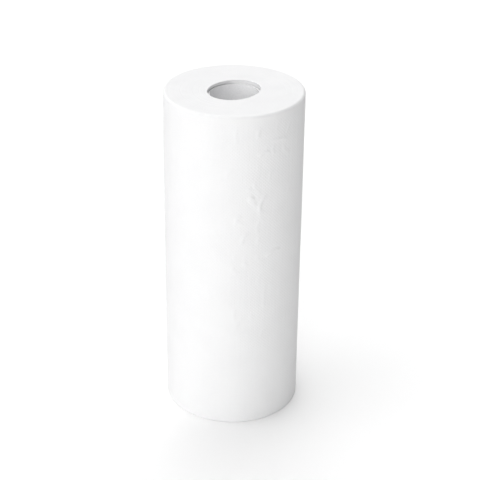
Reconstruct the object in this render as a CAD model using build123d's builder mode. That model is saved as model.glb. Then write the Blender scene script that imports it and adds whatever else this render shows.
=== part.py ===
"""Exam table paper roll: two-ply paper wound on a spiral board tube, standing on one cut end.

Millimetres, +Z up. The origin lies on the tube's axis, in the middle of the end that the roll stands on.
"""

import os
from math import degrees

from build123d import *

# Wound paper
web_width = 250.0  # between the cut ends, which is the height of the standing roll
roll_diameter = 101.0  # over the last turn
top_rim_radius = 2.0  # soft outer edge of the upper end
foot_bevel = 1.2  # the same edge at the foot, which the roll's weight flattens
sheet_thickness = 0.25  # both plies, where nothing presses them

# Free end of the web, which springs off the last turn a little
tail_azimuth = 100.0  # degrees from +X, so that the end lies on the far side from the front
tail_length = 24.0  # along the sheet, from where it leaves the roll
tail_slack = 13.5  # by which its bend is wider than the roll
tail_air = 0.1  # under the sheet where it leaves the roll

# Turns that show on the cut ends
turns_shown = 6
turn_line_width = 0.5
turn_line_depth = 0.3
turn_line_margin = 1.5  # plain paper beside the tube and beside the soft outer edge

# Board tube
tube_bore = 35.0
tube_wall = 1.2
tube_clearance = 0.2  # between the tube and the first turn
tube_setback = 2.5  # of its upper end, inside the eye
eye_bevel = 0.8  # inner edge of the paper at both cut ends

# Butt joint of the tube's inner ply, a fine helical groove
seam_lead = 92.0
seam_width = 0.5
seam_depth = 0.25

roll_radius = roll_diameter / 2
bore_radius = tube_bore / 2
tube_radius = bore_radius + tube_wall
eye_radius = tube_radius + tube_clearance
winding_step = sheet_thickness + tail_air
tail_angle = degrees(tail_length / roll_radius)
up = Vector(0, 0, 1)


def winding_plane(half_turn, step, turned=0):
    """Upright plane on which one half turn starts, with its origin at that half turn's own centre.

    The turns follow a two-centre spiral. Even half turns are struck from the tube's axis, and odd ones from a
    centre half a step behind it, so that each runs smoothly into the next and a whole turn loses one step.
    """
    towards_tail = Vector(1, 0, 0).rotate(Axis.Z, tail_azimuth)
    even = half_turn % 2 == 0
    centre = Vector(0, 0, 0) if even else towards_tail * (-step / 2)
    outwards = (towards_tail if even else -towards_tail).rotate(Axis.Z, turned)
    return Plane(origin=centre, x_dir=outwards, z_dir=outwards.cross(up))


def wound_profile(plane, radius):
    """Half section of the wound paper, from inside the eye to the given radius, with its soft outer edges."""
    inner = eye_radius / 2
    with BuildSketch(plane) as section:
        with BuildLine():
            Line((inner, 0), (radius - foot_bevel, 0))
            Line((radius - foot_bevel, 0), (radius, foot_bevel))
            Line((radius, foot_bevel), (radius, web_width - top_rim_radius))
            CenterArc((radius - top_rim_radius, web_width - top_rim_radius), top_rim_radius, 0, 90)
            Line((radius - top_rim_radius, web_width), (inner, web_width))
            Line((inner, web_width), (inner, 0))
        make_face()
    return section.sketch


def turn_line_profile(plane, radius, end_level, outward):
    """Vee section of the line between two turns, its point inside the cut end at the given level."""
    with BuildSketch(plane) as section:
        with BuildLine():
            Polyline(
                (radius, end_level - outward * turn_line_depth),
                (radius + turn_line_width, end_level + outward * turn_line_depth),
                (radius - turn_line_width, end_level + outward * turn_line_depth),
                close=True,
            )
        make_face()
    return section.sketch


def cut_turn_lines(end_level, outward, edge_width):
    """One spiral line on a cut end, from beside its soft edge in to the tube."""
    first_radius = roll_radius - edge_width - turn_line_margin
    last_radius = eye_radius + eye_bevel + turn_line_margin
    pitch = (first_radius - last_radius) / turns_shown
    for half_turn in range(2 * turns_shown):
        plane = winding_plane(half_turn, pitch)
        radius = first_radius - half_turn * pitch / 2
        section = turn_line_profile(plane, radius, end_level, outward)
        revolve(section, axis=Axis(plane.origin, up), revolution_arc=180, mode=Mode.SUBTRACT)


with BuildPart() as paper_roll:
    # The last turn but one, where the free end covers it
    covered = winding_plane(0, winding_step)
    under_tail = wound_profile(covered, roll_radius - winding_step)
    revolve(under_tail, axis=Axis(covered.origin, up), revolution_arc=tail_angle)

    # The last turn, up to where its end leaves the roll
    leaving = winding_plane(0, winding_step, tail_angle)
    last_turn = wound_profile(leaving, roll_radius)
    revolve(last_turn, axis=Axis(leaving.origin, up), revolution_arc=180 - tail_angle)
    behind = winding_plane(1, winding_step)
    rest_of_turn = wound_profile(behind, roll_radius - winding_step / 2)
    revolve(rest_of_turn, axis=Axis(behind.origin, up), revolution_arc=180)

    # The free end, bent wider than the roll from a centre beyond the tube's axis
    tail_radius = roll_radius + tail_slack
    tail_plane = Plane(
        origin=leaving.origin - leaving.x_dir * tail_slack, x_dir=leaving.x_dir, z_dir=leaving.z_dir
    )
    tail_height = web_width - top_rim_radius - foot_bevel
    with BuildSketch(tail_plane) as tail_section:
        with Locations((tail_radius, foot_bevel)):
            Rectangle(sheet_thickness, tail_height, align=(Align.MAX, Align.MIN))
    revolve(axis=Axis(tail_plane.origin, up), revolution_arc=-degrees(tail_length / tail_radius))

    # The eye, which opens a little at both ends
    with BuildSketch(Plane.XZ) as eye_section:
        with BuildLine():
            Polyline(
                (0, 0),
                (eye_radius + eye_bevel, 0),
                (eye_radius, eye_bevel),
                (eye_radius, web_width - eye_bevel),
                (eye_radius + eye_bevel, web_width),
                (0, web_width),
                close=True,
            )
        make_face()
    revolve(axis=Axis.Z, mode=Mode.SUBTRACT)

    cut_turn_lines(web_width, 1, top_rim_radius)
    cut_turn_lines(0, -1, foot_bevel)

# The tube, flush with the paper at the foot and cut a little short at the upper end
with BuildPart() as core_tube:
    with BuildSketch():
        Circle(tube_radius)
        Circle(bore_radius, mode=Mode.SUBTRACT)
    extrude(amount=web_width - tube_setback)

    # The inner ply's joint runs out through both ends
    run_out = seam_lead / 8
    with BuildLine() as seam:
        Helix(
            pitch=seam_lead,
            height=web_width + 2 * run_out,
            radius=bore_radius,
            center=(0, 0, -run_out),
        )
    with BuildSketch(Plane(origin=seam.line @ 0, x_dir=(1, 0, 0), z_dir=seam.line % 0)):
        with BuildLine():
            Polyline(
                (seam_depth, 0),
                (-seam_depth, seam_width),
                (-seam_depth, -seam_width),
                close=True,
            )
        make_face()
    sweep(is_frenet=True, mode=Mode.SUBTRACT)

paper_roll.part.label = "paper_roll"
core_tube.part.label = "core_tube"

os.makedirs("parts", exist_ok=True)
export_step(paper_roll.part, "parts/paper_roll.step")
export_step(core_tube.part, "parts/core_tube.step")
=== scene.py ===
"""Exam table paper roll: the looks of its board tube and its wound paper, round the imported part.

Metres, +Z up, in the part's own frame: the roll stands on one cut end, its axis is Z and its front faces -Y.
"""

import math

import bpy
import numpy as np
from mathutils import Matrix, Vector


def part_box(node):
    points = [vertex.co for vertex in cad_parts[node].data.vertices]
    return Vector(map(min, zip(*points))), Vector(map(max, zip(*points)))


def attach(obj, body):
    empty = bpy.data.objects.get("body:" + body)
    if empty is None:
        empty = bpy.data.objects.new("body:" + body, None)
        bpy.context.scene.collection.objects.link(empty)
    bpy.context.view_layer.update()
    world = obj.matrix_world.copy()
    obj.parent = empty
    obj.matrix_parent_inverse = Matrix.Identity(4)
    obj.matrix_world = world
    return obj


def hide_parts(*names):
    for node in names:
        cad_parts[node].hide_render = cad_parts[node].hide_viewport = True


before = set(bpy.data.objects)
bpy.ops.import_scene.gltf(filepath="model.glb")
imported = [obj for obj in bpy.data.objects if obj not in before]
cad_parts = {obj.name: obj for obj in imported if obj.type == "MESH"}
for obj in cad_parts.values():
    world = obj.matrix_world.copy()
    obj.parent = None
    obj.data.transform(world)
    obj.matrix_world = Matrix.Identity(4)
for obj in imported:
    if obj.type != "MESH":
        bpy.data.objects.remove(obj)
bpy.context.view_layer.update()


# Board tube: plies of light grey board, wound on the slant over a mandrel, glued, and sawn to length. The
# edges of the inner ply meet in a butt joint, a fine groove that climbs the bore. The upper cut end lies a
# little way inside the paper's eye, so only its right and rear show from the front.
mm = 0.001
_, tube_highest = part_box("core_tube")
tube_radius = tube_highest.x
tube_length = tube_highest.z
tube_wall = 1.2 * mm
bore_radius = tube_radius - tube_wall
ply_count = 3
ply_line_depth = 0.07 * mm
ply_line_width = 0.05 * mm
sawn_edge = 0.12 * mm
end_skew = 0.6 * mm
high_side = math.radians(10)
foot_lift = 0.2 * mm
joint_lead = 92 * mm
joint_start = joint_lead / 8
joint_depth = 0.22 * mm
joint_half_width = 0.25 * mm
joint_columns = (-1.4, -1.0, -0.5, 0.0, 0.5, 1.0, 1.4)
plain_columns = 100
tube_wall_rows = 26
cut_board_rows = 25
bore_rows = 170
sharp_edge = math.radians(38)
board_grey = (0.92, 0.92, 0.925)
board_fleck = (0.84, 0.84, 0.85)
# Painted shade: the board turns darker grey over its last half millimetre at each end, partly for its sawn
# fibres and partly for the shade that the paper's edge casts on the sunk upper end.
sawn_grey_and_shade = (0.74, 0.74, 0.745)
sawn_shade_from, sawn_shade_to = 0.6 * mm, 0.45 * mm
board_fibres_per_metre = 900.0
board_clouds_per_metre = 60.0
board_nap = 0.08 * mm


def ring_skin(name, points):
    """Skin of a ring, from a grid that closes on itself both ways: each point is joined to the next in its
    row and its column, and the last ones to the first."""
    rows, columns = points.shape[:2]
    here = np.arange(rows * columns).reshape(rows, columns)
    beside = np.roll(here, -1, axis=1)
    quads = np.stack([here, beside, np.roll(beside, -1, axis=0), np.roll(here, -1, axis=0)], axis=-1)
    return skin(name, points.reshape(-1, 3), quads.reshape(-1, 4))


def skin(name, points, faces):
    """Object at the origin whose faces join the points, smooth but for its sharp edges."""
    mesh = bpy.data.meshes.new(name)
    mesh.from_pydata(points, [], faces)
    mesh.update()
    mesh.shade_smooth()
    mesh.set_sharp_from_angle(angle=sharp_edge)
    piece = bpy.data.objects.new(name, mesh)
    bpy.context.scene.collection.objects.link(piece)
    return piece


def tube_points():
    """Rows go up the outer wall, in over the upper cut end, down the bore and out under the lower cut end.

    In the bore each column climbs with the joint, one turn for each lead, so that the groove keeps to its own
    columns. The outer wall takes back what is left of the last turn, and the two cut ends stay still. The
    upper cut end is a little askew: it falls by a cosine from its high side to the other.
    """
    groove = joint_half_width * np.array(joint_columns)
    plain = np.linspace(groove[-1], 2 * np.pi * bore_radius + groove[0], plain_columns)[1:-1]
    across = np.concatenate([groove, plain])
    column = across / bore_radius
    depth = joint_depth * np.clip(1 - np.abs(across) / joint_half_width, 0, None)

    share = np.linspace(0, 1, cut_board_rows)
    ply_edges = np.arange(1, ply_count)[:, None] / ply_count
    ply_lines = np.exp(-(((share - ply_edges) * tube_wall / ply_line_width) ** 2)).sum(axis=0)
    rounded = np.exp(-share * tube_wall / sawn_edge) + np.exp(-(1 - share) * tube_wall / sawn_edge)
    end_relief = -ply_line_depth * ply_lines - sawn_edge * rounded

    up = np.linspace(0, 1, tube_wall_rows)[1:-1]
    down = np.linspace(1, 0, bore_rows)[1:-1]
    height = np.concatenate([up, np.ones(cut_board_rows), down, np.zeros(cut_board_rows)])
    radius = np.concatenate([
        np.full(up.size, tube_radius),
        tube_radius - share * tube_wall,
        np.full(down.size, bore_radius),
        bore_radius + share * tube_wall,
    ])
    relief = np.concatenate([np.zeros(up.size), end_relief, np.zeros(down.size), -end_relief])
    in_bore = np.concatenate([np.zeros(up.size), share, np.ones(down.size), 1 - share])

    whole_twist = 2 * np.pi * tube_length / joint_lead
    left_over = whole_twist - 2 * np.pi * round(whole_twist / (2 * np.pi))
    start = 2 * np.pi * joint_start / joint_lead
    bore_twist = whole_twist * height
    wall_twist = whole_twist - left_over * (1 - height)
    twist = start + np.where(np.arange(height.size) < up.size, wall_twist, bore_twist)

    angle = column + twist[:, None]
    top = tube_length - end_skew * (0.5 - 0.5 * np.cos(angle - high_side))
    level = foot_lift + (top - foot_lift) * height[:, None] + relief[:, None]
    distance = radius[:, None] + depth * in_bore[:, None]
    return np.stack([distance * np.cos(angle), distance * np.sin(angle), level], axis=-1)


board_tube = ring_skin("board_tube", tube_points())


def new_finish(name):
    """Empty material with its nodes and its surface shader, ready for a finish of its own."""
    made = bpy.data.materials.new(name)
    made.use_nodes = True
    return made, made.node_tree, made.node_tree.nodes["Principled BSDF"]


def add(tree, kind, settings=None, **values):
    """Adds one node. Settings are its own choices. A value goes to the input socket of its name, or to the
    one of its number, where the name is an underscore and a number."""
    node = tree.nodes.new(kind)
    for setting, choice in (settings or {}).items():
        setattr(node, setting, choice)
    for socket, value in values.items():
        number = socket[1:]
        place = node.inputs[int(number) if number.isdigit() else socket.replace("_", " ")]
        if isinstance(value, bpy.types.NodeSocket):
            tree.links.new(value, place)
        else:
            place.default_value = value
    return node


def blotches(tree, where, per_unit, detail=2.0):
    """Soft random pattern from 0 to 1, with that many blotches to the unit of the place it reads."""
    return add(tree, "ShaderNodeTexNoise", Vector=where, Scale=per_unit, Detail=detail).outputs["Fac"]


def reckon(tree, operation, first, second=0.0):
    """One step of arithmetic on two numbers or sockets."""
    return add(tree, "ShaderNodeMath", {"operation": operation}, _0=first, _1=second).outputs[0]


def weighed(tree, first, second, first_share):
    """Sum of two patterns, the first times its share and the second times what is left of one."""
    return reckon(
        tree, "ADD",
        reckon(tree, "MULTIPLY", first, first_share),
        reckon(tree, "MULTIPLY", second, 1 - first_share),
    )


def drawn_out(tree, pattern, lowest, highest):
    """The pattern between the two values given, drawn out so that it runs from 0 to 1."""
    return add(tree, "ShaderNodeMapRange", Value=pattern, From_Min=lowest, From_Max=highest).outputs[0]


def mixed(tree, share, first, second):
    """Colour between two others, by a share from 0 to 1. Each is a socket or a colour with its alpha."""
    return add(tree, "ShaderNodeMix", {"data_type": "RGBA"}, _0=share, _6=first, _7=second).outputs[2]


def blend(tree, share, first, second):
    """Colour between two plain colours, by a share from 0 to 1."""
    return mixed(tree, share, (*first, 1), (*second, 1))


def dry_surface(tree, shader, colour, relief, strength, depth, roughness, gloss):
    """Gives the shader its colour, a fine relief of that strength and depth, and a rough surface that shines
    as little as the gloss says."""
    tree.links.new(colour, shader.inputs["Base Color"])
    bump = add(tree, "ShaderNodeBump", Height=relief, Strength=strength, Distance=depth)
    tree.links.new(bump.outputs["Normal"], shader.inputs["Normal"])
    shader.inputs["Roughness"].default_value = roughness
    shader.inputs["Specular IOR Level"].default_value = gloss


grey_board, tree, shader = new_finish("grey_board")
place = add(tree, "ShaderNodeTexCoord").outputs["Object"]
fibres = blotches(tree, place, board_fibres_per_metre, detail=4.0)
clouds = blotches(tree, place, board_clouds_per_metre)
flecks = drawn_out(tree, weighed(tree, fibres, clouds, first_share=0.6), 0.35, 0.6)
bore_tone = blend(tree, flecks, board_fleck, board_grey)
level = add(tree, "ShaderNodeSeparateXYZ", Vector=place).outputs["Z"]
from_middle = reckon(tree, "ABSOLUTE", reckon(tree, "SUBTRACT", level, tube_length / 2))
# Painted shade, partly the sawn fibres' own grey: the board is darker grey near both ends.
sawn_and_shaded = drawn_out(tree, from_middle, tube_length / 2 - sawn_shade_from, tube_length / 2 - sawn_shade_to)
tone = mixed(tree, sawn_and_shaded, bore_tone, (*sawn_grey_and_shade, 1))
dry_surface(tree, shader, tone, fibres, strength=0.6, depth=board_nap, roughness=0.85, gloss=0.3)
board_tube.data.materials.append(grey_board)

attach(board_tube, "root")
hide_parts("core_tube")


# Wound turns: two-ply tissue web wound hard on the tube, about 180 turns that show on the cut ends as fine
# rings, with one spiral line where the pull changed. At the upper end the tube doesn't back the first turns,
# so the eye's edge is oval there: it leans in over the tube on two sides, and stands off it between them.
_, roll_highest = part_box("paper_roll")
web_width = roll_highest.z
roll_radius = 50.5 * mm
tail_azimuth = math.radians(100)
tail_length = 24 * mm
tail_angle = tail_length / roll_radius
winding_step = 0.35 * mm
wall_tucked = 0.9 * mm
foot_tucked = 0.45 * mm
rim_tucked = 0.06 * mm
top_rim = 2 * mm
foot_rim = 0.8 * mm
comes_out_from = math.radians(46.4)
comes_out_over = math.radians(12)
eye_clearance = 0.2 * mm
eye_radius = tube_radius + eye_clearance
eye_rim = 0.45 * mm
eye_oval = 1.6 * mm
eye_oval_azimuth = math.radians(51)
eye_shift = (-0.1 * mm, -0.6 * mm)
eye_give = 6 * mm
collar_foot = 0.3 * mm
collar_lift = 0.1 * mm
hollow = 0.8
hollow_top = 0.5 * mm
hollow_depth = 10 * mm
eye_depths_in_mm = (0.6, 0.8, 1.0, 1.3, 1.6, 2.0, 2.2, 2.4, 3, 4, 6, 9, 14, 22, 35, 70, 130, 190, 245)
turns_shown = 6
line_margin = 1.5 * mm
line_depth = 0.07 * mm
line_width = 0.3 * mm
ring_depth = 0.018 * mm
ring_waves = (1.3 * mm, 6.5 * mm)
upper_end_rows = 92
lower_end_rows = 62
# Painted shade: the cut ends are darker where their rings and fuzz lie low, mixed with soft random clouds.
cut_white = (0.86, 0.86, 0.865)
cut_painted_shade = (0.82, 0.82, 0.827)
turn_pitch = 0.17 * mm
edges_per_turn = 0.45
fuzz_per_metre = 1500.0
cut_clouds_per_metre = 70.0
cut_nap = 0.1 * mm


def winding_radius(azimuth, outermost, step):
    """Distance from the axis to a turn's outer face, on the part's two-centre spiral.

    From the tail, the first half turn keeps its radius about the axis. The second half is struck from half a
    step behind the axis with half a step less, so a whole turn comes back one step further in.
    """
    turned = np.mod(azimuth - tail_azimuth, 2 * np.pi)
    aside = step / 2 * np.sin(turned)
    second = np.sqrt((outermost - step / 2) ** 2 - aside ** 2) - step / 2 * np.cos(turned)
    return np.where(turned < np.pi, outermost, second)


def waves(where, lengths, count, seed):
    """Sum of sine waves with lengths between the two given, spaced evenly in proportion, and with phases of
    chance. It stays about within -1 and 1."""
    chance = np.random.default_rng(seed)
    each = np.geomspace(lengths[0], lengths[1], count)
    phases = chance.uniform(0, 2 * np.pi, count)
    total = np.sin(2 * np.pi * where[..., None] / each + phases).sum(axis=-1)
    return total / math.sqrt(count)


def eased(share):
    """A share from 0 to 1 that starts and ends gently: three times its square, less twice its cube."""
    return share * share * (3 - 2 * share)


def cut_end_relief(azimuth, radius, edge_width):
    """Height of the cut turns over a flat end: rings of waves along the radius, less a soft valley wherever
    the spiral line passes. Both fade out towards the eye and the outer edge."""
    first = roll_radius - edge_width - line_margin
    last = eye_radius + eye_rim + line_margin
    pitch = (first - last) / turns_shown
    inside = (winding_radius(azimuth, first, pitch) - radius) / pitch
    off_line = np.abs(inside - np.round(inside)) * pitch
    on_end = (np.round(inside) >= 0) & (np.round(inside) <= turns_shown)
    valley = np.where(on_end, np.exp(-((off_line / line_width) ** 2)), 0)
    fade = np.clip(np.minimum(first - radius, radius - last) / line_margin + 1, 0, 1)
    rings = waves(radius, ring_waves, count=7, seed=3)
    return ring_depth * rings * fade - line_depth * valley * fade


def eye_stray(azimuth):
    """How far the eye's upper edge lies outside its round: an oval, by a cosine of twice the angle from its
    long side, and a shift to one side."""
    oval = eye_oval * np.cos(2 * (azimuth - eye_oval_azimuth))
    return oval + eye_shift[0] * np.cos(azimuth) + eye_shift[1] * np.sin(azimuth)


def eye_wall_radius(stray, depth):
    """Radius of the eye, by how far its edge strays and by the depth under the upper end.

    Where the edge strays inward, the first turns stand upright as a collar, which goes back to the round just
    over the tube's end. Where it strays outward, they are hollowed a little more under the edge, and close in
    on the tube with the depth.
    """
    tube_depth = web_width - tube_length
    collar = np.clip((tube_depth - collar_lift - depth) / collar_foot, 0, 1)
    under_edge = 1 + hollow * (1 - np.exp(-(depth - eye_rim) / hollow_top))
    return eye_radius + stray * np.where(stray < 0, collar, under_edge * np.exp(-depth / hollow_depth))


def wound_points():
    """Rows go up the covered outer wall, over the soft upper edge, in along the upper cut end, down the eye
    and out along the lower cut end. A column stands at each degree, and rounded edges are quarter circles.

    Under the last turn the wall keeps clear of it, and it comes out flush just before that sheet's edge. On
    the upper end each turn strays as the eye's edge does, less the farther out it lies. With each point come
    the radius of its turn, where nothing strays, and its height.
    """
    azimuth = np.radians(np.arange(360.0))
    covered = np.mod(azimuth - tail_azimuth, 2 * np.pi) < tail_angle
    outer = np.where(covered, roll_radius - winding_step, winding_radius(azimuth, roll_radius, winding_step))

    wall_level = np.linspace(foot_rim, web_width - top_rim, 4)[1:-1, None]
    wall_radius = outer - wall_tucked + 0 * wall_level

    covered_rim = np.linspace(0, 44, 5)
    open_rim = np.linspace(46, 90, 16)
    rim = np.radians(np.concatenate([covered_rim, open_rim]))[:, None]
    shown = np.clip((rim - comes_out_from) / comes_out_over, 0, 1)
    reach = top_rim - wall_tucked + (wall_tucked - rim_tucked) * eased(shown)
    rim_radius = outer - top_rim + reach * np.cos(rim)
    short_of_top = rim_tucked * (1 - np.sin(rim)) * shown + (top_rim - reach) * (1 - shown)
    rim_level = web_width - top_rim + (top_rim - short_of_top) * np.sin(rim)

    stray = eye_stray(azimuth)
    inward = np.linspace(0, 1, upper_end_rows)[1:-1, None]
    end_turn = (outer - top_rim) * (1 - inward) + (eye_radius + eye_rim) * inward
    end_radius = end_turn + stray * np.exp(-(end_turn - eye_radius - eye_rim) / eye_give)
    end_level = web_width + cut_end_relief(azimuth, end_turn, top_rim)

    bend = np.radians(np.linspace(0, 90, 7))[:, None]
    upper_eye_radius = eye_radius + stray + eye_rim * (1 - np.sin(bend))
    upper_eye_level = web_width - eye_rim * (1 - np.cos(bend))
    depth = np.array(eye_depths_in_mm)[:, None] * mm
    eye_wall = eye_wall_radius(stray, depth)
    lower_eye_radius = eye_radius + eye_rim * (1 - np.cos(bend)) + 0 * azimuth
    lower_eye_level = eye_rim * (1 - np.sin(bend))

    outward = np.linspace(0, 1, lower_end_rows)[1:-1, None]
    under_radius = (eye_radius + eye_rim) * (1 - outward) + (outer - foot_rim) * outward
    under_level = -np.minimum(cut_end_relief(azimuth, under_radius, foot_rim) - ring_depth, 0)
    foot_radius = outer - foot_rim + (foot_rim - foot_tucked) * np.sin(bend)
    foot_level = foot_rim * (1 - np.cos(bend))

    radii, levels, turns = zip(
        (wall_radius, wall_level, wall_radius),
        (rim_radius, rim_level, rim_radius),
        (end_radius, end_level, end_turn),
        (upper_eye_radius, upper_eye_level, upper_eye_radius - stray),
        (eye_wall, web_width - depth, eye_radius + 0 * eye_wall),
        (lower_eye_radius, lower_eye_level, lower_eye_radius),
        (under_radius, under_level, under_radius),
        (foot_radius, foot_level, foot_radius),
    )
    radius = np.concatenate(radii)
    level = np.concatenate([each + 0 * azimuth for each in levels])
    points = np.stack([radius * np.cos(azimuth), radius * np.sin(azimuth), level], axis=-1)
    return points, np.stack([np.concatenate(turns), level], axis=-1)


def lay_map(piece, map_name, flat_places):
    """Gives each point of a piece its place on a flat map, for patterns that follow the paper."""
    corner = np.zeros(len(piece.data.loops), dtype=np.int32)
    piece.data.loops.foreach_get("vertex_index", corner)
    laid = piece.data.uv_layers.new(name=map_name)
    laid.uv.foreach_set("vector", flat_places.reshape(-1, 2)[corner].astype(np.float32).ravel())


points, turn_map = wound_points()
wound_turns = ring_skin("wound_turns", points)
lay_map(wound_turns, "turns", turn_map)

cut_tissue, tree, shader = new_finish("cut_tissue")
place = add(tree, "ShaderNodeTexCoord").outputs["Object"]
turn = add(tree, "ShaderNodeUVMap", {"uv_map": "turns"}).outputs["UV"]
turn_radius = add(tree, "ShaderNodeSeparateXYZ", Vector=turn).outputs["X"]
turn_number = reckon(tree, "DIVIDE", turn_radius, turn_pitch)
turn_place = add(tree, "ShaderNodeCombineXYZ", X=turn_number).outputs[0]
turn_edges = blotches(tree, turn_place, edges_per_turn, detail=1.0)
fuzz = blotches(tree, place, fuzz_per_metre, detail=3.0)
clouds = blotches(tree, place, cut_clouds_per_metre)
nap = weighed(tree, turn_edges, fuzz, first_share=0.75)
# Painted shade where the relief lies low, mixed with soft random clouds.
painted_shade_and_clouds = drawn_out(tree, weighed(tree, nap, clouds, first_share=0.6), 0.35, 0.6)
tone = blend(tree, painted_shade_and_clouds, cut_painted_shade, cut_white)
dry_surface(tree, shader, tone, nap, strength=0.5, depth=cut_nap, roughness=0.95, gloss=0.2)
wound_turns.data.materials.append(cut_tissue)

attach(wound_turns, "root")
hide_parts("paper_roll")


# Last turn: the outermost sheet of the same web, a little over once round, with its loose end springing off
# the far side. It bends over the upper edge, and shows the faint upright flutes, pinched creases and dimples
# that handling leaves in soft tissue. Its two plies are embossed together with small dots.
sheet_thickness = 0.25 * mm
overlap = math.radians(25)
sheet_edge_angle = math.radians(62)
foot_edge_angle = math.radians(70)
tail_slack = 13.5 * mm
tail_lift = 0.3 * mm
tail_lift_waves = (60 * mm, 240 * mm)
tail_hold = 0.15
past_tail = 1.3 * tail_length
fine_from, fine_to = math.radians(230), math.radians(350)
column_steps = (1.2 * mm, 1.7 * mm, 0.88 * mm, 1.7 * mm)
row_marks = (foot_rim, 120 * mm, 236 * mm, web_width - top_rim)
row_steps = (1.8 * mm, 0.85 * mm, 1.5 * mm)
inner_stride = 4
calm_foot, calm_top = 6 * mm, 8 * mm
any_phase = (0, 6.3)
flute_count = 14
flute_lengths = (3.2 * mm, 9 * mm)
flute_height = 0.022 * mm
flutes_at_once = 3.7
flute_drift = 0.9
drift_length = 180 * mm
wax_share = 0.4
wax_length = 110 * mm
swell_height = 0.05 * mm
swells_at_once = 2
# Painted shade: the tissue is darker where its fibres lie low, mixed with soft random clouds.
white_tissue = (0.82, 0.82, 0.823)
painted_shade_tissue = (0.795, 0.795, 0.80)
crepe_per_metre = (1700.0, 110.0, 1.0)
tissue_fibres_per_metre = 1900.0
tissue_clouds_per_metre = 45.0
dot_pitch = 2.4 * mm
dot_height = 0.2
tissue_nap = 0.16 * mm

# Each swell has how many times it goes round the roll, and its length up the roll.
swells = ((2, 210 * mm), (3, 130 * mm), (5, 90 * mm), (7, 160 * mm))

# Each crease has its two ends, as azimuth in degrees and height up the roll in mm, then how high it stands
# and how wide it is, in mm.
creases = (
    ((-70.5, 176.5), (-64.0, 190.0), 0.55, 1.2),
    ((-76.9, 192.7), (-71.0, 178.0), 0.28, 1.2),
    ((-84.9, 152.4), (-78.2, 161.9), 0.42, 1.4),
    ((-63.7, 141.5), (-47.6, 143.5), 0.75, 1.2),
    ((-72.0, 233.5), (-68.8, 240.5), 0.45, 1.2),
    ((-71.7, 220.6), (-60.0, 222.5), 0.52, 1.1),
    ((-57.8, 219.0), (-57.4, 226.5), 0.36, 1.0),
    ((-60.0, 230.5), (-42.0, 227.5), 0.40, 1.2),
    ((-79.2, 188.3), (-72.7, 188.0), 0.35, 0.8),
)
crease_wander = 0.6 * mm
crease_wander_phase = 1.0
crease_fullness = 1.5
crease_end_slope = 3
crease_end_height = 0.2

# The small wrinkles are strewn in these ranges, in the same units. The lean is in radians, to either side.
wrinkle_count = 34
wrinkle_azimuth = (-104, -40)
wrinkle_level = (70, 238)
wrinkle_length = (5, 15)
wrinkle_lean = (-0.9, 0.9)
wrinkle_height = (0.12, 0.38)
wrinkle_width = (0.8, 1.5)

# Each dimple has its middle, then how high it stands, which is below nothing where it goes in, and its width.
dimples = (
    ((-113.1, 230.9), -0.10, 3.0),
    ((-94.6, 232.0), -0.10, 3.0),
    ((-80.1, 75.2), -0.12, 2.5),
    ((-130.5, 62.6), 0.08, 1.2),
)


def small_wrinkles():
    """Short creases strewn by chance over the part of the front that hands have held. Each runs more up than
    around, and leans either way by up to about 50 degrees."""
    chance = np.random.default_rng(29)
    strewn = []
    for _ in range(wrinkle_count):
        azimuth = chance.uniform(*wrinkle_azimuth)
        level = chance.uniform(*wrinkle_level)
        length = chance.uniform(*wrinkle_length)
        lean = chance.uniform(*wrinkle_lean)
        around = math.degrees(length * mm * math.sin(lean) / roll_radius)
        end = (azimuth + around, level + length * math.cos(lean))
        height = chance.uniform(*wrinkle_height)
        width = chance.uniform(*wrinkle_width)
        strewn.append(((azimuth, level), end, height, width))
    return strewn


def flutes_and_swells(azimuth, level):
    """Height of the sheet over a true round wall: waves round the roll in whole numbers, so that they meet.
    The short ones are upright flutes, which drift sideways and wax and wane a little with the height, and the
    long ones are slow swells, which also rise and fall with the height. A height given for either is about
    what all of them come to together."""
    chance = np.random.default_rng(11)
    girth = 2 * np.pi * roll_radius
    relief = 0 * azimuth * level
    for count in np.unique(np.round(girth / np.geomspace(*flute_lengths, flute_count))):
        sway = chance.uniform(-1, 1) * flute_drift
        drift = sway * np.sin(2 * np.pi * level / drift_length + chance.uniform(*any_phase))
        waxing = np.sin(2 * np.pi * level / wax_length + chance.uniform(*any_phase) + azimuth)
        flute = np.sin(count * azimuth + drift + chance.uniform(*any_phase))
        relief = relief + flute_height / flutes_at_once * (1 - wax_share + wax_share * waxing) * flute
    for count, length in swells:
        phase = 2 * np.pi * level / length + chance.uniform(*any_phase)
        swell = np.sin(count * azimuth + chance.uniform(*any_phase)) * np.sin(phase)
        relief = relief + swell_height / swells_at_once * swell
    return relief


def on_sheet(place):
    """A place given as azimuth in degrees and height in mm, as metres round the roll and up it."""
    return np.array([math.radians(place[0]) * roll_radius, place[1] * mm])


def pinches(azimuth, level):
    """Height of the creases, small wrinkles and dimples over the sheet. A crease is a ridge along a line that
    wanders a little: it falls off to both sides and fades at its ends. A dimple falls off all round its
    middle as a bell does."""
    around = (np.mod(azimuth + np.pi, 2 * np.pi) - np.pi) * roll_radius
    relief = 0 * around * level
    for from_place, to_place, height, width in [*creases, *small_wrinkles()]:
        start = on_sheet(from_place)
        end = on_sheet(to_place)
        length = np.linalg.norm(end - start)
        ahead = (end - start) / length
        along = ((around - start[0]) * ahead[0] + (level - start[1]) * ahead[1]) / length
        off = (level - start[1]) * ahead[0] - (around - start[0]) * ahead[1]
        off = off + crease_wander * np.sin(2 * np.pi * along + crease_wander_phase)
        ends = eased(np.clip(np.minimum(along, 1 - along) * crease_end_slope + crease_end_height, 0, 1))
        relief = relief + height * mm * ends * np.exp(-np.abs(off / (width * mm)) ** crease_fullness)
    for place, height, width in dimples:
        middle = on_sheet(place)
        away = np.hypot(around - middle[0], level - middle[1])
        relief = relief + height * mm * np.exp(-((away / (width * mm)) ** 2))
    return relief


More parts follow.
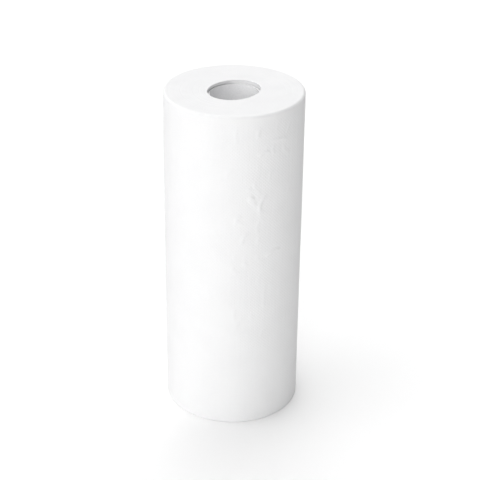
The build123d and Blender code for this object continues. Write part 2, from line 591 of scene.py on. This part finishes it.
def sheet_path(along):
    """Place and outward direction of the sheet's outer face in plan, by the length along it from the loose
    end: an arc wider than the roll up to where it leaves the roll, then the two-centre spiral."""
    leaving = tail_azimuth + tail_angle
    tail_radius = roll_radius + tail_slack
    loose = along < tail_length
    bend = leaving - (tail_length - along) / tail_radius
    azimuth = leaving + (along - tail_length) / roll_radius
    turned = azimuth - tail_azimuth
    second = (turned >= np.pi) & (turned < 2 * np.pi)
    third = turned >= 2 * np.pi
    back = np.where(second, winding_step / 2, 0)
    radius = roll_radius - back - np.where(third, winding_step, 0)
    direction = np.where(loose, bend, azimuth)
    reach = np.where(loose, tail_radius, radius)
    aside = np.where(loose, tail_slack, 0)
    x = reach * np.cos(direction) - back * math.cos(tail_azimuth) - aside * math.cos(leaving)
    y = reach * np.sin(direction) - back * math.sin(tail_azimuth) - aside * math.sin(leaving)
    return x, y, direction


def stops(marks, steps):
    """Even steps from each mark to the next, of about the given size, with no mark taken twice."""
    spans = []
    for mark, following, step in zip(marks, marks[1:], steps):
        count = max(2, round(abs(following - mark) / step) + 1)
        spans.append(np.linspace(mark, following, count)[1:])
    return np.concatenate([[marks[0]], *spans])


def sheet_section(along):
    """How far the outer face is set in, its height and its lean, up the section at each length along it.

    The section is a short bend at the foot, a straight wall, and a bend over the upper edge that relaxes
    along the loose end. The wall gives up a few rows near the foot, so that the inner face, with a quarter
    of them, ends level with it.
    """
    foot_bend = np.linspace(foot_edge_angle, 0, 6)[:-1]
    rise = stops(row_marks, row_steps)
    curl = np.linspace(0, 1, 9)[1:]
    spare = (foot_bend.size + rise.size + curl.size - 1) % inner_stride
    rise = np.delete(rise, np.arange(spare) + 3)

    held = tail_hold + (1 - tail_hold) * eased(np.clip(along / tail_length, 0, 1))
    top_bend = curl * sheet_edge_angle * held[:, None]
    columns = along.size
    set_in = np.concatenate([
        np.tile(foot_rim * (1 - np.cos(foot_bend)), (columns, 1)),
        np.zeros((columns, rise.size)),
        top_rim * (1 - np.cos(top_bend)),
    ], axis=1)
    level = np.concatenate([
        np.tile(foot_rim * (1 - np.sin(foot_bend)), (columns, 1)),
        np.tile(rise, (columns, 1)),
        web_width - top_rim + top_rim * np.sin(top_bend),
    ], axis=1)
    lean = np.concatenate([
        np.tile(-foot_bend, (columns, 1)),
        np.zeros((columns, rise.size)),
        top_bend,
    ], axis=1)
    return set_in, level, lean


def sheet_faces(columns, outer_count, count):
    """Faces between the closed section's points at each column and the next, and the strips that close the
    two ends. A strip's face takes one step of the inner face and the outer face's steps in front of it."""
    here = np.arange(columns * count).reshape(columns, count)
    above = np.roll(here, -1, axis=1)
    quads = np.stack([here[:-1], here[1:], above[1:], above[:-1]], axis=-1).reshape(-1, 4)
    low = np.arange(0, outer_count - 1, inner_stride)[:, None]
    behind = count - 1 - low // inner_stride
    ends = np.concatenate([low + np.arange(inner_stride + 1), behind - 1, behind], axis=1)
    far_ends = (ends + (columns - 1) * count)[:, ::-1]
    return [*quads.tolist(), *ends.tolist(), *far_ends.tolist()]


def sheet_mesh():
    """A thin closed section carried along the sheet's path. Its inner face lies one thickness behind the
    outer one and takes the same relief. The loose end also lifts in waves, by the square of its nearness to
    the edge. With each point comes its place on the sheet laid flat."""
    leaving = tail_azimuth + tail_angle
    front = tail_length + roll_radius * (fine_from - leaving)
    beyond = tail_length + roll_radius * (fine_to - leaving)
    whole = tail_length + roll_radius * (2 * np.pi + overlap)
    along = stops((0, past_tail, front, beyond, whole), column_steps)
    set_in, level, lean = sheet_section(along)

    x, y, direction = (each[:, None] for each in sheet_path(along))
    azimuth = np.unwrap(np.arctan2(y, x), axis=0)
    calm = np.clip(np.minimum(level / calm_foot, (web_width - level) / calm_top), 0, 1)
    relief = (flutes_and_swells(azimuth, level) + pinches(azimuth, level)) * calm
    loose = np.clip(1 - along[:, None] / tail_length, 0, 1)
    lift = loose ** 2 * tail_lift * waves(level, tail_lift_waves, count=4, seed=5)
    stand = relief + lift - set_in
    outer = np.stack([x + stand * np.cos(direction), y + stand * np.sin(direction), level], axis=-1)
    sideways = np.cos(lean)
    out = np.stack([sideways * np.cos(direction), sideways * np.sin(direction), np.sin(lean)], axis=-1)
    inner = (outer - sheet_thickness * out)[:, ::inner_stride]
    section = np.concatenate([outer, inner[:, ::-1]], axis=1)

    steps_up = np.linalg.norm(np.diff(outer[along.size // 2], axis=0), axis=-1)
    height_flat = np.concatenate([[0], np.cumsum(steps_up)])
    outer_map = np.stack(np.broadcast_arrays(along[:, None], height_flat), axis=-1)
    section_map = np.concatenate([outer_map, outer_map[:, ::inner_stride][:, ::-1]], axis=1)
    faces = sheet_faces(along.size, outer.shape[1], section.shape[1])
    return section.reshape(-1, 3), faces, section_map.reshape(-1, 2)


points, faces, sheet_map = sheet_mesh()
last_turn = skin("last_turn", points, faces)
lay_map(last_turn, "unrolled", sheet_map)

crepe_tissue, tree, shader = new_finish("crepe_tissue")
sheet = add(tree, "ShaderNodeUVMap", {"uv_map": "unrolled"}).outputs["UV"]
place = add(tree, "ShaderNodeTexCoord").outputs["Object"]
crepe_place = add(tree, "ShaderNodeMapping", Vector=sheet, Scale=crepe_per_metre).outputs[0]
crepe = blotches(tree, crepe_place, 1.0)
fibres = blotches(tree, place, tissue_fibres_per_metre, detail=3.0)
sheet_axes = add(tree, "ShaderNodeSeparateXYZ", Vector=sheet).outputs
dot_wave = 2 * math.pi / dot_pitch
dots = reckon(
    tree, "MULTIPLY",
    reckon(tree, "SINE", reckon(tree, "MULTIPLY", sheet_axes["X"], dot_wave)),
    reckon(tree, "SINE", reckon(tree, "MULTIPLY", sheet_axes["Y"], dot_wave)),
)
nap = weighed(tree, crepe, fibres, first_share=0.6)
embossed = reckon(tree, "ADD", nap, reckon(tree, "MULTIPLY", dots, dot_height))
clouds = blotches(tree, place, tissue_clouds_per_metre, detail=3.0)
# Painted shade where the fibres lie low, mixed with soft random clouds.
painted_shade_and_clouds = drawn_out(tree, weighed(tree, fibres, clouds, first_share=0.5), 0.3, 0.55)
tone = blend(tree, painted_shade_and_clouds, painted_shade_tissue, white_tissue)
dry_surface(tree, shader, tone, embossed, strength=0.8, depth=tissue_nap, roughness=0.95, gloss=0.2)
last_turn.data.materials.append(crepe_tissue)

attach(last_turn, "root")
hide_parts("paper_roll")


# Floor: a wide sheet of plain white paper with a very fine grain, laid flat. It lies a hair under the roll's
# cut end, so that the two flat faces never fall together.
floor_size = 12.0
floor_drop = 0.05 * mm
floor_white = (0.98, 0.98, 0.98)
floor_grain = (0.97, 0.97, 0.97)
floor_grain_per_metre = 400.0
corners = floor_size / 2 * np.array([[-1, -1, 0], [1, -1, 0], [1, 1, 0], [-1, 1, 0]]) - [0, 0, floor_drop]
floor = skin("floor", corners, [[0, 1, 2, 3]])
floor_sheet, tree, shader = new_finish("floor_sheet")
place = add(tree, "ShaderNodeTexCoord").outputs["Object"]
grain = blotches(tree, place, floor_grain_per_metre)
tree.links.new(blend(tree, grain, floor_grain, floor_white), shader.inputs["Base Color"])
shader.inputs["Roughness"].default_value = 1.0
shader.inputs["Specular IOR Level"].default_value = 0.0
floor.data.materials.append(floor_sheet)


# Light: four soft boxes in a dim room, two of them high, behind and at the left, one lower at the front, and
# the widest level at the front left, so the right side falls into soft shade. The backdrop is pale paper.
# Each box has its direction, how fast it fades towards its edge, and its strength.
room_light = 0.10
soft_boxes = (
    ("left_above", (-0.5, 0.0, 0.87), 20, 2.67),
    ("front_left", (-0.7, -0.7, 0.0), 6, 2.64),
    ("behind_above", (0.0, 0.5, 0.87), 10, 3.56),
    ("front_above", (0.0, -0.87, 0.5), 20, 3.67),
)
backdrop_light = 0.93
studio = bpy.data.worlds.new("studio")
studio.use_nodes = True
bpy.context.scene.world = studio
tree = studio.node_tree
toward = add(tree, "ShaderNodeTexCoord").outputs["Generated"]
sky = room_light
for _, direction, fade, strength in soft_boxes:
    aim = np.array(direction) / np.linalg.norm(direction)
    facing = add(tree, "ShaderNodeVectorMath", {"operation": "DOT_PRODUCT"}, _0=toward, _1=aim)
    glow = reckon(tree, "POWER", reckon(tree, "MAXIMUM", facing.outputs["Value"], 0.0), fade)
    sky = reckon(tree, "ADD", reckon(tree, "MULTIPLY", glow, strength), sky)
seen = add(tree, "ShaderNodeLightPath").outputs["Is Camera Ray"]
shown = add(tree, "ShaderNodeMix", {"data_type": "FLOAT"}, _0=seen, _2=sky, _3=backdrop_light).outputs[0]
tree.nodes["Background"].inputs["Color"].default_value = (1, 1, 1, 1)
tree.links.new(shown, tree.nodes["Background"].inputs["Strength"])


# Camera: a long lens in front of the roll and above it, looking down at it by about 28 degrees, as the photo
# was taken. It is square to the front, but for a hair's turn to the right and a hair's lean.
stand_off = 901.6 * mm
eye_level = 605.66 * mm
turn_right, look_down, lean_over = 0.00576, 0.48563, 0.01175
lens_in_mm = 102.45
sensor_width_in_mm = 36
farthest_seen = 50
forward = np.array([
    math.sin(turn_right) * math.cos(look_down),
    math.cos(turn_right) * math.cos(look_down),
    -math.sin(look_down),
])
level_right = np.cross(forward, [0, 0, 1])
level_right /= np.linalg.norm(level_right)
level_up = np.cross(level_right, forward)
right = level_right * math.cos(lean_over) + level_up * math.sin(lean_over)
up = -level_right * math.sin(lean_over) + level_up * math.cos(lean_over)
camera = bpy.data.objects.new("camera", bpy.data.cameras.new("camera"))
camera.matrix_world = Matrix([
    [right[0], up[0], -forward[0], 0],
    [right[1], up[1], -forward[1], -stand_off],
    [right[2], up[2], -forward[2], eye_level],
    [0, 0, 0, 1],
])
camera.data.lens = lens_in_mm
camera.data.sensor_width = sensor_width_in_mm
camera.data.clip_end = farthest_seen
bpy.context.scene.collection.objects.link(camera)
bpy.context.scene.camera = camera
bpy.context.scene.view_settings.view_transform = "Standard"
